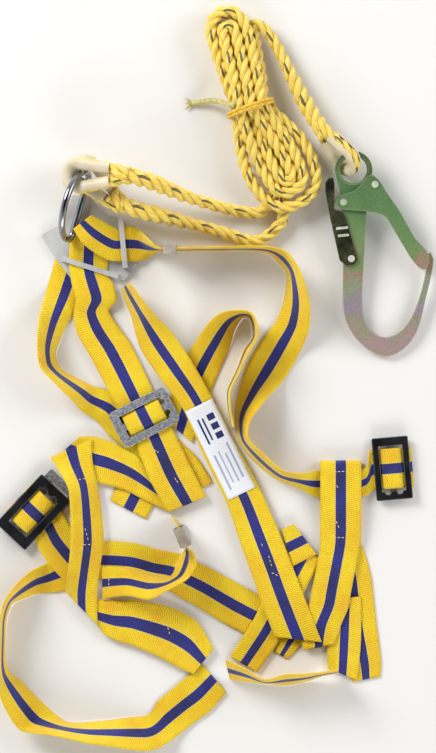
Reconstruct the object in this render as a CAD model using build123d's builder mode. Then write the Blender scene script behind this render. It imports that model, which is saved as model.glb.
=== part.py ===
from build123d import *
import math
import os

# Full body harness with a rope lanyard, laid out on a floor. Millimetres, +Z up.
# Places are measured from the lower left corner of the laid-out harness, and at() moves them
# to the part's own origin: the middle of its box on the floor.

os.makedirs("parts", exist_ok=True)

layout_x, layout_y = 236.25, 340.48

# webbing
webbing_thickness = 2.0
webbing_width = 44.0

# slide-bar buckles
frame_mid_z = 7.4
frame_thickness = 3.2
buckle_window = (50, 26)
bar_size = (49, 8, 2.8)
bar_tab_thickness = 1.1
under_frame_z = 4.2
over_bar_z = 10.2

# rope and thimbles
rope_radius = 7.5
eye_rope_radius = 6.2
thimble_radius = 7.6
thimble_wall = 1.2

# D-ring
ring_wire_radius = 3.75
ring_bar = 76
ring_leg = 14
ring_heading = 74
ring_tilt = 74

# scaffold hook
hook_thickness = 6.0
lever_inner, lever_outer = 3.4, 5.2
gate_inner, gate_outer = 5.6, 7.4
hook_slope = 5.8
eye_radius = 14.5
gate_pivot = (-11, -35)
gate_stop = (23.3, -15.5)
lever_pivot = (-2.2, -97)
rivet_radius = 2.5


def at(x, y, z):
    return Vector(x - layout_x, y - layout_y, z)


def write(part, label):
    part.label = label
    export_step(part, f"parts/{label}.step")


# ---- webbing: each row is one cross-section, left edge x, y, z and right edge x, y, z ----

def webbing(label, rows):
    lefts = [at(*row[:3]) for row in rows]
    rights = [at(*row[3:]) for row in rows]
    middles = [(left + right) * 0.5 for left, right in zip(lefts, rights)]
    sections = []
    for i, (left, right) in enumerate(zip(lefts, rights)):
        ahead = middles[min(i + 1, len(rows) - 1)] - middles[max(i - 1, 0)]
        up = (right - left).cross(ahead).normalized() * (webbing_thickness / 2)
        sections.append([left + up, right + up, right - up, left - up])
    flats = [sections[0], sections[-1]]
    for near, far in zip(sections, sections[1:]):
        # the upper and lower sides are split along the same diagonal, so a twisted bay keeps its thickness
        for k, following in ((0, 1), (1, 2), (3, 2), (0, 3)):
            flats.append([near[k], near[following], far[following]])
            flats.append([near[k], far[following], far[k]])
    with BuildPart() as strap:
        add(Solid(Shell([Face(Wire.make_polygon(flat, close=True)) for flat in flats])), clean=False)
    write(strap.part, label)


def through_buckle(x, y, angle, way=1):
    """Rows of webbing that pass under a buckle's side, over its bar and under the other side."""
    along = Vector(math.cos(math.radians(angle)), math.sin(math.radians(angle)), 0)
    travel = Vector(along.Y, -along.X, 0) * way
    steps = [(-22.5, under_frame_z), (-12.5, under_frame_z), (-6.5, over_bar_z),
             (6.5, over_bar_z), (12.5, under_frame_z), (22.5, under_frame_z)]
    rows = []
    for distance, z in steps:
        middle = Vector(x, y, z) + travel * distance
        left = middle - along * (webbing_width / 2)
        right = middle + along * (webbing_width / 2)
        rows.append((left.X, left.Y, z, right.X, right.Y, z))
    return rows


chest_buckle = (159, 366, 27)
left_buckle = (37, 262, 47)
right_buckle = (431, 310, -85)

left_shoulder_strap = [
    (64, 550, 1, 106, 537, 1),
    (51, 506, 1, 90, 495, 1),
    (45, 475, 34, 73, 466, 1),
    (43, 446, 40, 62, 440, 1),
    (46, 422, 41, 63, 426, 1),
    (59, 407, 41, 72, 416, 1),
    (80, 386, 33, 101, 401, 1),
    (90, 373, 8, 112, 398, 1),
    (106, 362, 1, 132, 391, 1),
    (124, 342, 1, 156, 373, 1),
    (154, 317, 1, 182, 354, 1),
    (179, 295, 1, 216, 323, 1),
    (200, 275, 1, 234, 295, 1),
]
centre_strap_top = [
    (78, 570, 6, 120, 563, 6),
    (76, 537, 5.8, 119, 526, 5.8),
    (79, 513, 7.2, 125, 512, 7.2),
    (84, 496, 9, 129, 495, 9),
    (81, 479, 5, 120, 483, 5),
    (85, 458, 4.2, 131, 465, 4.2),
    (100, 432, 4.2, 142, 450, 4.2),
    (113, 407, 4.2, 154, 427, 4.2),
]
centre_strap_end = [
    (167, 293, 7, 209, 314, 7),
    (186, 262, 7, 227, 279, 7),
]
right_shoulder_top = [
    (101, 588, 16.6, 81, 572.5, 16.6),
    (116, 580, 16.6, 93, 555, 16.6),
    (130, 573, 10, 118, 539, 11),
    (141, 576, 8, 140, 537, 8),
    (152, 573, 9, 156, 538, 7),
    (164, 561, 34, 167, 543, 2),
    (176, 551, 45, 176, 549, 1.2),
    (202, 551, 45, 202, 549, 1.2),
    (237, 552, 45, 237, 549, 1.2),
    (275, 553, 45, 275, 549, 1.2),
    (297, 552, 44, 295, 546, 1.2),
    (315, 546, 42, 305, 537, 1.2),
    (327, 530, 42, 315, 524, 1.2),
    (336, 506, 39, 314, 505, 1.2),
    (340, 486, 34, 311, 490, 1.2),
    (339, 462, 18, 304, 472, 2),
    (329, 436, 4, 289, 452, 2),
    (312, 407, 3, 274, 426, 2),
    (293, 387, 26, 264, 398, 2),
    (275, 363, 40, 258, 371, 1.2),
    (273, 344, 42, 262, 341, 1.2),
    (288, 328, 41, 279, 318, 1.2),
    (311, 308, 40, 304, 298, 1.2),
    (332, 305, 26, 329, 288, 3),
    (350, 308, 8, 350, 278, 4),
    (399, 309, 8, 399, 279, 4),
]
label_strap = [
    (134, 508, 1, 143, 513, 34),
    (136, 498, 1, 151, 503, 38),
    (144, 478, 1, 166, 483, 36),
    (155, 441, 1, 190, 458, 20),
    (179, 405, 6, 210, 429, 12),
    (201, 376, 8, 231, 393, 8),
    (225, 322, 8, 258, 340, 8),
    (250, 270, 8, 287, 286, 8),
    (265, 226, 8.2, 307, 240, 8.2),
    (277, 193, 8.2, 320, 207, 8.2),
    (288, 161, 8.2, 333, 173, 8.2),
    (302, 125, 8.2, 354, 119, 8.2),
]
chest_loop_strap = [
    (183, 362, 1, 212, 338, 1),
    (187, 387, 1, 226, 374, 1),
    (207, 436, 1, 234, 400, 1),
    (230, 470, 24, 252, 442, 1.2),
    (245, 481, 36, 258, 462, 1.2),
    (262, 483, 42, 266, 475, 1.2),
    (275, 481, 44, 274, 475, 1.2),
    (282, 470, 45, 277, 466, 1.2),
    (282, 453, 45, 277, 453, 1.2),
    (273, 438, 45, 268, 440, 1.2),
    (263, 416, 45, 260, 418, 1.2),
    (253, 394, 45, 250, 395, 1.2),
    (254, 373, 44, 251, 373, 1.2),
    (257, 356, 42, 255, 354, 1.2),
]
waist_strap = [
    (88, 345, 5.4, 62, 322, 5.4),
    (103, 345, 5.2, 90, 300, 5.2),
    (121, 340, 4.4, 116, 292, 4.4),
    (139, 330, 4, 138, 286, 4),
    (153, 321, 3.6, 155, 277, 3.6),
    (164, 304, 3.6, 188, 261, 3.6),
]
left_side_strap = [
    (56, 322, 9, 101, 342, 8.4),
    (65, 309, 17, 102, 319, 8.4),
    (77, 288, 36, 107, 294, 8.4),
    (79, 258, 34, 112, 260, 8.4),
    (79, 226, 32, 114, 228, 8.4),
    (76, 198, 30, 109, 194, 8.4),
    (73, 182, 14, 107, 162, 8.4),
    (73, 174, 8.4, 108, 138, 8.4),
]
seat_strap = [
    (74, 174, 5.8, 109, 138, 5.8),
    (99, 168, 5.8, 113, 129, 5.8),
    (123, 165, 5.6, 127, 121, 5.6),
    (143, 166, 5.6, 144, 116, 5.6),
    (165, 163, 5.6, 163, 108, 5.6),
    (194, 155, 5.6, 180, 100, 5.6),
    (217, 141, 5.6, 198, 90, 5.6),
    (235, 112, 5.8, 213, 84, 5.8),
]
buckle_strap_end = [
    (45, 217, 3.6, 78, 245, 3.6),
    (58, 200, 3.6, 91, 229, 3.6),
    (73, 184, 3.6, 105, 212, 3.6),
]
leg_loop_strap = [
    (295, 165, 1, 279, 123, 1),
    (264, 182, 1, 249, 138, 1),
    (235, 198, 1, 218, 157, 1),
    (216, 207, 1, 198, 168, 1),
    (197, 216, 1, 182, 177, 1),
    (173, 221, 1, 165, 180, 1),
    (146, 228, 1, 143, 186, 1),
    (114, 230, 1, 114, 188, 1),
    (94, 228, 1, 97, 186, 1),
    (68, 217, 1, 74, 176, 1),
    (52, 206, 1, 55, 173, 1),
    (34, 197, 20, 41, 172, 1),
    (18, 182, 38, 24, 166, 1),
    (7, 165, 42, 13, 161, 1.2),
    (2, 145, 43, 7, 143, 1.2),
    (1, 121, 43, 6, 121, 1.2),
    (0, 99, 43, 6, 100, 1.2),
    (0, 81, 42, 10, 87, 1.2),
    (2, 63, 37, 24, 75, 1.2),
    (10, 43, 28, 41, 58, 1.2),
    (23, 24, 20, 56, 44, 1.2),
    (42, 21, 30, 66, 36, 1.2),
    (61, 20, 40, 74, 31, 1.2),
    (79, 16, 42, 84, 30, 1.2),
    (99, 11, 39, 100, 31, 1.2),
    (120, 8, 37, 120, 33, 1.2),
    (143, 4, 32, 143, 36, 1.2),
    (164, 2, 26, 161, 38, 1.2),
    (179, 6, 16, 167, 43, 1.2),
    (195, 16, 5, 173, 53, 1.2),
    (213, 30, 2, 188, 66, 1.2),
    (231, 43, 2, 206, 81, 1.2),
    (249, 64, 2, 222, 95, 1.2),
]
keeper_strap = [
    (112, 202, 8, 113, 166, 8.2),
    (123, 202, 8, 122, 168, 9),
    (141, 200, 7, 141, 171, 24),
    (163, 194, 6, 165, 168, 36),
    (182, 189, 6, 184, 178, 42),
    (190, 194, 6, 207, 191, 40),
    (195, 206, 4, 216, 208, 39),
    (202, 219, 3.4, 212, 221, 42),
    (205, 224, 3.4, 206, 225, 45),
    (195, 249, 1.2, 196, 249, 45),
    (189, 257, 1.2, 191, 258, 45),
]
seat_end_strap = [
    (248, 102, 37, 253, 78, 1.2),
    (267, 94, 40, 273, 75, 1.2),
    (290, 81, 43, 293, 73, 1.2),
    (312, 86, 42, 317, 72, 1.2),
    (333, 87, 43, 338, 76, 1.2),
    (352, 89, 44, 354, 82, 6.8),
    (371, 92, 44, 372, 86, 7),
]
cross_strap = [
    (321, 230, 3.4, 354, 209, 3.4),
    (307, 202, 3.4, 339, 183, 3.4),
    (290, 167, 3.4, 323, 150, 3.4),
    (277, 141, 3.4, 305, 117, 3.4),
    (253, 103, 3.4, 283, 86, 3.4),
]
side_loop_strap = [
    (352, 226, 1, 397, 226, 1),
    (352, 310, 1, 397, 310, 1),
    (352, 316, 3, 397, 316, 3),
    (352, 318, 6, 397, 318, 6),
    (352, 316, 10, 397, 316, 10),
    (352, 309, 12, 397, 309, 12),
    (352, 270, 12, 397, 270, 12),
    (352, 242, 8, 397, 242, 8),
    (352, 223, 6, 395, 223, 6),
    (344, 182, 6, 386, 174, 6),
    (340, 161, 6, 383, 157, 6),
    (330, 134, 6, 375, 138, 6),
    (334, 110, 6, 367, 117, 6),
]
right_leg_strap = [
    (356, 221, 1, 399, 224, 1),
    (364, 191, 1, 408, 191, 1),
    (370, 146, 1, 413, 147, 1),
    (382, 98, 1, 419, 99, 1),
    (387, 75, 1, 418, 81, 1),
]
right_leg_tail = [
    (364, 167, 3.4, 397, 169, 3.4),
    (360, 121, 3.4, 397, 121, 3.4),
    (360, 90, 3.4, 393, 77, 3.4),
]
waist_tab = [
    (133, 299, 1, 173, 277, 1),
    (121, 275, 1, 161, 254, 1),
]
centre_tab = [
    (310, 243, 5.9, 321, 202, 5.9),
    (323, 249, 5.9, 348, 216, 5.9),
]
seat_tab = [
    (315, 141, 1, 343, 130, 1),
    (302, 108, 1, 317, 100, 1),
]

straps = {
    "left_shoulder_strap": left_shoulder_strap,
    "centre_strap": centre_strap_top + through_buckle(*chest_buckle) + centre_strap_end,
    "right_shoulder_strap": right_shoulder_top + through_buckle(*right_buckle, way=-1),
    "label_strap": label_strap,
    "chest_loop_strap": chest_loop_strap,
    "waist_strap": waist_strap,
    "left_side_strap": left_side_strap,
    "seat_strap": seat_strap,
    "left_buckle_strap": through_buckle(*left_buckle) + buckle_strap_end,
    "leg_loop_strap": leg_loop_strap,
    "keeper_strap": keeper_strap,
    "seat_end_strap": seat_end_strap,
    "cross_strap": cross_strap,
    "side_loop_strap": side_loop_strap,
    "right_leg_strap": right_leg_strap,
    "right_leg_tail": right_leg_tail,
    "waist_tab": waist_tab,
    "centre_tab": centre_tab,
    "seat_tab": seat_tab,
}
for name, rows in straps.items():
    webbing(name, rows)

# sewn-on label: a thin patch lying on the label strap
with BuildPart() as label_patch:
    with BuildSketch(Plane(origin=at(242.5, 331, 9.35), x_dir=(0.90, 0.44, 0), z_dir=(0, 0, 1))):
        Rectangle(33, 108)
    extrude(amount=0.4)
write(label_patch.part, "label_patch")


# ---- slide-bar buckles ----

def buckle(label, x, y, angle, outer, corner):
    centre = at(x, y, frame_mid_z)
    turn = math.radians(angle)
    plane = Plane(origin=centre, x_dir=(math.cos(turn), math.sin(turn), 0), z_dir=(0, 0, 1))
    with BuildPart() as frame:
        with BuildSketch(plane.offset(-frame_thickness / 2)):
            RectangleRounded(*outer, corner)
            Rectangle(*buckle_window, mode=Mode.SUBTRACT)
            with Locations((buckle_window[0] / 2, 6.5), (buckle_window[0] / 2, -6.5)):
                Circle(3.6, mode=Mode.SUBTRACT)
        extrude(amount=frame_thickness)
        chamfer(frame.faces().sort_by(Axis.Z)[-1].outer_wire().edges(), 0.5)
    write(frame.part, f"{label}_frame")
    tab_z = -frame_thickness / 2 - 0.3 - bar_tab_thickness
    with BuildPart() as bar:
        with BuildSketch(plane.offset(-bar_size[2] / 2)):
            Rectangle(*bar_size[:2])
        extrude(amount=bar_size[2])
        for side in (1, -1):
            with BuildSketch(plane.offset(tab_z)):
                with Locations((side * (bar_size[0] / 2 - 0.7), 0)):
                    Rectangle(1.4, bar_size[1])
            extrude(amount=frame_thickness)
            with BuildSketch(plane.offset(tab_z)):
                with Locations((side * 27, 0)):
                    Rectangle(7.8, bar_size[1])
            extrude(amount=bar_tab_thickness)
    write(bar.part, f"{label}_bar")
    return plane


chest_plane = buckle("chest_buckle", *chest_buckle, (69, 43), 6)
left_plane = buckle("left_buckle", *left_buckle, (74, 44), 2)
right_plane = buckle("right_buckle", *right_buckle, (69, 40), 2)

# the grey mating plate under the left leg buckle
with BuildPart() as left_buckle_plate:
    with BuildSketch(Plane(origin=at(48, 270, 0.3), x_dir=left_plane.x_dir, z_dir=(0, 0, 1))):
        RectangleRounded(70, 42, 2)
        Rectangle(*buckle_window, mode=Mode.SUBTRACT)
    extrude(amount=2)
write(left_buckle_plate.part, "left_buckle_plate")


# ---- webbing keepers: square sleeves round webbing that stands on edge ----

def keeper(label, x, y, angle, length, thickness):
    turn = math.radians(angle)
    x_dir = (math.cos(turn), math.sin(turn), 0)
    with BuildPart() as sleeve:
        with BuildSketch(Plane(origin=at(x, y, 23.5), x_dir=(-x_dir[1], x_dir[0], 0), z_dir=x_dir)
                         .offset(-length / 2)):
            RectangleRounded(thickness, 47, 1.8)
            RectangleRounded(thickness - 3.2, 44.8, 0.8, mode=Mode.SUBTRACT)
        extrude(amount=length)
    write(sleeve.part, label)


keeper("shoulder_keeper", 187, 550, 0, 14, 11)
keeper("thigh_keeper", 201, 236, -68, 22, 13)

# ---- dorsal plate: a flexible pad with two bridges that hold the webbing down ----
plate_outline = [(45, 566), (67, 578), (80, 610), (97, 612), (114, 590), (136, 584), (153, 536),
                 (137, 517), (122, 516), (78, 519), (60, 542)]
with BuildPart() as dorsal_plate:
    with BuildSketch(Plane.XY.offset(2.6)):
        with BuildLine():
            Polyline(*[at(x, y, 0) for x, y in plate_outline], close=True)
        make_face()
    extrude(amount=1.8)
    fillet(dorsal_plate.edges().filter_by(Axis.Z), 3)
    for (x0, y0), (x1, y1), top in (((70, 540), (129, 521), 9.6), ((133, 583), (138, 531), 13.4)):
        start, end = at(x0, y0, top), at(x1, y1, top)
        middle, run = (start + end) * 0.5, end - start
        with BuildSketch(Plane(origin=middle, x_dir=run, z_dir=(0, 0, -1))):
            Rectangle(run.length, 5.5)
        extrude(amount=1.6)
        for post in (start, end):
            with BuildSketch(Plane(origin=post, x_dir=run, z_dir=(0, 0, -1))):
                Rectangle(2.4, 5.5)
            extrude(amount=top - 3)
write(dorsal_plate.part, "dorsal_plate")

# ---- D-ring: standing on its bar, held under the folded webbing ----
ring_along = Vector(math.cos(math.radians(ring_heading)), math.sin(math.radians(ring_heading)), 0)
ring_side = Vector(-ring_along.Y, ring_along.X, 0)
ring_up = ring_side * math.cos(math.radians(ring_tilt)) + Vector(0, 0, math.sin(math.radians(ring_tilt)))
ring_plane = Plane(origin=at(78, 560, 11.4), x_dir=ring_along, z_dir=ring_along.cross(ring_up))
ring_bow = ring_bar / 2
with BuildPart() as d_ring:
    with BuildLine(ring_plane):
        FilletPolyline((ring_bow, 0), (0, 0), (0, ring_leg), radius=8)
        ThreePointArc((0, ring_leg), (ring_bow, ring_leg + ring_bow), (ring_bar, ring_leg))
        FilletPolyline((ring_bar, ring_leg), (ring_bar, 0), (ring_bow, 0), radius=8)
    with BuildSketch(Plane(origin=ring_plane.from_local_coords((ring_bow, 0)), z_dir=ring_along)):
        Circle(ring_wire_radius)
    sweep()
write(d_ring.part, "d_ring")


# ---- thimbled rope eyes ----

def rope_eye(label, centre, x_dir, y_dir, radius, reach):
    """A grooved thimble and the eye of rope in it; the throat points along x_dir."""
    plane = Plane(origin=centre, x_dir=x_dir, z_dir=Vector(*x_dir).cross(Vector(*y_dir)))
    throat = (reach, 7.9)
    lean = math.atan2(throat[1], throat[0]) + math.acos(radius / math.hypot(*throat))
    touch = (radius * math.cos(lean), radius * math.sin(lean))
    for kind in ("thimble", "rope_eye"):
        with BuildPart() as turn:
            with BuildLine(plane) as path:
                Line(throat, touch)
                ThreePointArc(touch, (-radius, 0), (touch[0], -touch[1]))
                Line((touch[0], -touch[1]), (throat[0], -throat[1]))
            start = plane.from_local_coords(throat)
            ahead = plane.from_local_coords(touch) - start
            section = Plane(origin=start, x_dir=plane.z_dir, z_dir=ahead)
            inward = 1 if section.to_local_coords(plane.origin).Y > 0 else -1
            with BuildSketch(section):
                if kind == "rope_eye":
                    Circle(eye_rope_radius)
                else:
                    Circle(thimble_radius)
                    Circle(thimble_radius - thimble_wall, mode=Mode.SUBTRACT)
                    with Locations((0, -inward * (thimble_radius + 4.5))):
                        Rectangle(4 * thimble_radius, 2 * thimble_radius, mode=Mode.SUBTRACT)
            sweep()
        write(turn.part, f"{label}_{kind}")


rope_eye("upper", at(88, 629.6, 43.2), (0.94, 0, 0.34), (0, 1, 0), 14, 38)
rope_eye("lower", at(94.9, 634.3, 24), (0.70, -0.67, 0.25), (0.69, 0.72, 0), 14, 38)
hook_eye = at(388, 637, 24)
rope_eye("hook", hook_eye + Vector(-10.6, 13.3, 0), (-0.625, 0.78, 0), (0.39, 0.3125, 0.866), 15.5, 27)


# ---- rope: tubes of straight runs joined by tangent arcs ----

def rope(label, route):
    points = [at(*point) for point in route]
    radii = []
    for before, corner, after in zip(points, points[1:], points[2:]):
        turn = math.radians((corner - before).get_angle(after - corner))
        run = min((corner - before).length, (after - corner).length)
        radii.append(0.45 * run / math.tan(turn / 2))
    with BuildPart() as tube:
        with BuildLine() as path:
            FilletPolyline(*points, radius=radii)
        with BuildSketch(Plane(origin=path.line @ 0, z_dir=path.line % 0)):
            Circle(rope_radius)
        sweep()
    write(tube.part, label)
    section = math.pi * rope_radius**2
    length = sum(edge.length for edge in path.line.edges())
    print(label, "length", round(length), "radii", [round(r) for r in radii],
          "volume ratio", round(tube.part.volume / (section * length), 3))


upper_lead_route = [(125, 629.6, 56.6), (145, 629, 60.4), (168, 622, 52), (190, 613, 39), (212, 605, 27),
                    (240, 597, 17), (266, 591, 11), (294, 589, 9)]
lower_lead_route = [(122.3, 608.1, 33.8), (139, 596, 37.5), (166, 589, 33), (196, 582, 24), (227, 574, 14),
                    (256, 566, 8.5), (275, 559, 8), (289, 561, 8), (303, 572, 8.4), (315, 587, 9)]
hook_lead_route = [(281, 800, 15), (296, 787, 12), (308, 766, 12), (319, 742, 13), (332, 716, 15),
                   (346, 692, 19), (359.6, 672.6, 23.8)]
rope("upper_lead_rope", upper_lead_route)
rope("lower_lead_rope", lower_lead_route)
rope("hook_lead_rope", hook_lead_route)

# the hank: one solid of the outer shape of its folded turns, nipped in at the tie
hank_sections = [(241, 832, -77, 30, 26), (244, 814, -77, 56, 34), (254, 770, -77, 60, 38),
                 (270, 716, -74, 52, 44), (275, 705, -70, 47, 45), (281, 694, -66, 50, 44),
                 (299, 655, -62, 72, 36), (312, 625, -62, 84, 32),
                 (321, 606, -62, 68, 30), (327, 595, -62, 30, 22)]
with BuildPart() as rope_hank:
    for x, y, heading, width, height in hank_sections:
        turn = math.radians(heading)
        with BuildSketch(Plane(origin=at(x, y, height / 2 + 3), x_dir=(-math.sin(turn), math.cos(turn), 0),
                               z_dir=(math.cos(turn), math.sin(turn), 0))):
            Ellipse(width / 2, height / 2)
    loft(ruled=True)
write(rope_hank.part, "rope_hank")

with BuildPart() as hank_tie:
    turn = math.radians(-72)
    with BuildSketch(Plane(origin=at(275.6, 703.5, 25.5), x_dir=(-math.sin(turn), math.cos(turn), 0),
                           z_dir=(math.cos(turn), math.sin(turn), 0)).offset(-4)):
        Ellipse(26.4, 25)
        Ellipse(25.2, 23.6, mode=Mode.SUBTRACT)
    extrude(amount=8)
write(hank_tie.part, "hank_tie")

# ---- scaffold hook, drawn in its own plane: x across, y along, the eye's centre at 0, 0 ----
slope = math.radians(hook_slope)
hook_plane = Plane(origin=hook_eye, x_dir=(1, 0, 0), z_dir=(0, -math.sin(slope), math.cos(slope)))

with BuildPart() as hook_frame:
    with BuildSketch(hook_plane.offset(-hook_thickness / 2)):
        with BuildLine():
            ThreePointArc((-20, -5), (0, 20.5), (20, -5))
            Spline((20, -5), (16.5, -21), (14.3, -48), (11, -109), (9.9, -147), (13.2, -167), (24, -180),
                   (36, -184), (47, -181), (60, -169), (70.5, -147), (78, -120), (81, -100))
            Polyline((81, -100), (80, -92.5), (85, -90.5), (88, -98))
            Spline((88, -98), (84.7, -120), (79, -144), (73.7, -167), (65, -186),
                   (52, -199), (38.5, -204.5), (26, -202), (12, -193.5), (-1, -179), (-8.8, -161.5),
                   (-11, -142), (-11, -100), (-15.5, -24), (-20, -5))
        make_face()
        Circle(eye_radius, mode=Mode.SUBTRACT)
        with Locations(gate_pivot, lever_pivot):
            Circle(rivet_radius, mode=Mode.SUBTRACT)
    extrude(amount=hook_thickness)
    circles = hook_frame.edges().filter_by(GeomType.CIRCLE)
    rim = [edge for edge in circles if abs(edge.radius - eye_radius) < 0.01]
    chamfer(rim, 1.8)
    for pivot in (gate_pivot, lever_pivot):
        with BuildSketch(hook_plane.offset(-hook_thickness / 2)):
            with Locations(pivot):
                Circle(4.8)
        extrude(amount=4.2, mode=Mode.SUBTRACT)
write(hook_frame.part, "hook_frame")


def channel(label, outline, back, inner, outer, holes, smooth=True):
    """A folded sheet channel: a flat cheek on each side of the hook's plane and a back that joins them."""
    with BuildPart() as part:
        for level in (-outer, inner):
            with BuildSketch(hook_plane.offset(level)):
                with BuildLine():
                    if smooth:
                        Spline(*outline, periodic=True)
                    else:
                        Polyline(*outline, close=True)
                make_face()
                for spot, radius in holes:
                    with Locations(spot):
                        Circle(radius, mode=Mode.SUBTRACT)
            extrude(amount=outer - inner)
        with BuildSketch(hook_plane.offset(-outer)):
            with BuildLine():
                Polyline(*back, close=True)
            make_face()
        extrude(amount=2 * outer)
    write(part.part, label)


gate_outline = [(14.5, -8), (19.5, -5.5), (25, -8.5), (35, -22.5), (51.5, -47), (67.5, -75), (79.5, -88),
                (83, -100), (77, -109), (70, -105), (57, -87), (43, -63.5), (33.5, -50.5),
                (21, -46), (-9, -43.2), (-17, -40.5), (-19.5, -34.5), (-14, -28), (-1, -23.5), (7.5, -16.5)]
gate_back = [(28, -12.6), (35, -22.5), (51.5, -47), (67.5, -75), (66, -76), (50, -48), (33.5, -23.6),
             (26.6, -13.8)]
channel("hook_gate", gate_outline, gate_back, gate_inner, gate_outer,
        [(gate_pivot, rivet_radius + 0.05), (gate_stop, rivet_radius)])

lever_outline = [(-27, -9), (-22, -8.5), (-20.8, -16), (-20.8, -43), (-12, -46), (-7, -54), (-5.5, -62),
                 (2.5, -90), (5, -98), (1, -104),
                 (-8, -105), (-15, -99), (-25, -55), (-31, -24), (-31, -14)]
lever_back = [(-31, -14), (-31, -24), (-25, -55), (-15, -99), (-13.4, -98.6), (-23.4, -55), (-29.4, -24),
              (-29.4, -14)]
channel("lock_lever", lever_outline, lever_back, lever_inner, lever_outer,
        [(lever_pivot, rivet_radius + 0.05)], smooth=False)


def rivet(label, spot, grip):
    """A plain rivet through a channel: shank and two low heads."""
    with BuildPart() as pin:
        with BuildSketch(hook_plane.offset(-grip - 1.3)):
            with Locations(spot):
                Circle(rivet_radius)
        extrude(amount=2 * grip + 2.6)
        for level in (-grip - 1.3, grip + 0.1):
            with BuildSketch(hook_plane.offset(level)):
                with Locations(spot):
                    Circle(rivet_radius + 1.3)
            extrude(amount=1.2)
    write(pin.part, label)


rivet("gate_rivet", gate_pivot, gate_outer)
rivet("gate_stop_rivet", gate_stop, gate_outer)
rivet("lever_rivet", lever_pivot, lever_outer)


def torsion_spring(label, spot):
    """A small torsion spring, in the pocket round a rivet."""
    base = hook_plane.offset(-2.2)
    with BuildPart() as spring:
        with BuildLine(Plane(origin=base.from_local_coords(spot), x_dir=base.x_dir, z_dir=base.z_dir)) as coil:
            Helix(pitch=1.1, height=2.2, radius=3.7)
        with BuildSketch(Plane(origin=coil.line @ 0, z_dir=coil.line % 0)):
            Circle(0.45)
        sweep()
    write(spring.part, label)


torsion_spring("gate_spring", gate_pivot)
torsion_spring("lever_spring", lever_pivot)
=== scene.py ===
import math

import bmesh
import bpy
from mathutils import Matrix, Vector, noise
from mathutils.bvhtree import BVHTree


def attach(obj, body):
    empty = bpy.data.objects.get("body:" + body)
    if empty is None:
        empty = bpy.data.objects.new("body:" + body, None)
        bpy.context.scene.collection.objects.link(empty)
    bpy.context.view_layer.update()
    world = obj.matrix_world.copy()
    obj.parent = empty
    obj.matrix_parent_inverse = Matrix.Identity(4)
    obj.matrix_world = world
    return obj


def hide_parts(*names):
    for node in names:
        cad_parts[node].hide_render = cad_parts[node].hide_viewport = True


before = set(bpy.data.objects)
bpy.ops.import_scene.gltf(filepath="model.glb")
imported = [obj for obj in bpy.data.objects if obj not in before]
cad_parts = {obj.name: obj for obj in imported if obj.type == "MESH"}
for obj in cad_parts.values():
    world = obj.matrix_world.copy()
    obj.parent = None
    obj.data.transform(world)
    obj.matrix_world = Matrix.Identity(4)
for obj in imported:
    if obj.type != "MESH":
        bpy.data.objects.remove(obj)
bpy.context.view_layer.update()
print("frame loaded")

# The harness is laid out on the floor. Places are whole millimetres from the lower left corner of
# the layout, and place() turns them into metres about the part's own origin.
layoutCorner = (236.25, 340.48)


def place(x, y, z):
    return Vector(((x - layoutCorner[0]) / 1000, (y - layoutCorner[1]) / 1000, z / 1000))


def colour(hexText, alpha=1.0):
    parts = [int(hexText[i:i + 2], 16) / 255 for i in (1, 3, 5)]
    return [c / 12.92 if c <= 0.04045 else ((c + 0.055) / 1.055) ** 2.4 for c in parts] + [alpha]


def addNode(tree, kind, inputs=None, stops=None, **settings):
    node = tree.nodes.new(kind)
    for key, value in settings.items():
        setattr(node, key, value)
    if stops:
        ramp = node.color_ramp
        while len(ramp.elements) < len(stops):
            ramp.elements.new(0.5)
        for element, (position, shade) in zip(ramp.elements, stops):
            element.position = position
            element.color = shade
    for key, value in (inputs or {}).items():
        if isinstance(value, bpy.types.Node):
            value = value.outputs[0]  # a node stands for its first output
        if isinstance(value, bpy.types.NodeSocket):
            tree.links.new(value, node.inputs[key])
        else:
            node.inputs[key].default_value = value
    return node


def newMaterial(name, **fixed):
    material = bpy.data.materials.new(name)
    material.use_nodes = True
    tree = material.node_tree
    shader = tree.nodes["Principled BSDF"]
    for key, value in fixed.items():
        shader.inputs[key].default_value = value
    return material, tree, shader


# Polyester webbing, woven: a satin face with cross ribs, a blue stripe down the middle and thin pale
# threads at the stripe's edges. The UV map is in metres, U along the webbing and V across it, and so
# are the pitches, the half widths and the depth of the weave.
# the valley and crest tones are painted shade in the rib hollows and a painted highlight on the rib tops
webbingLook = dict(yellow="#FFDD10", shade="#F6C004", stripe="#202388", stripeShade="#141648",
                   pale="#D8CFA4", ribPitch=0.0022, threadPitch=0.0017, stripeHalf=0.0056,
                   paleHalf=0.0060, zigzagPitch=0.0056, zigzagSlope=0.35, threadShare=0.45,
                   valleyShadeTone=0.7, crestHighlightTone=1.12, soilScale=26.0, yarnScale=900.0, weaveDepth=0.00035)


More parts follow.
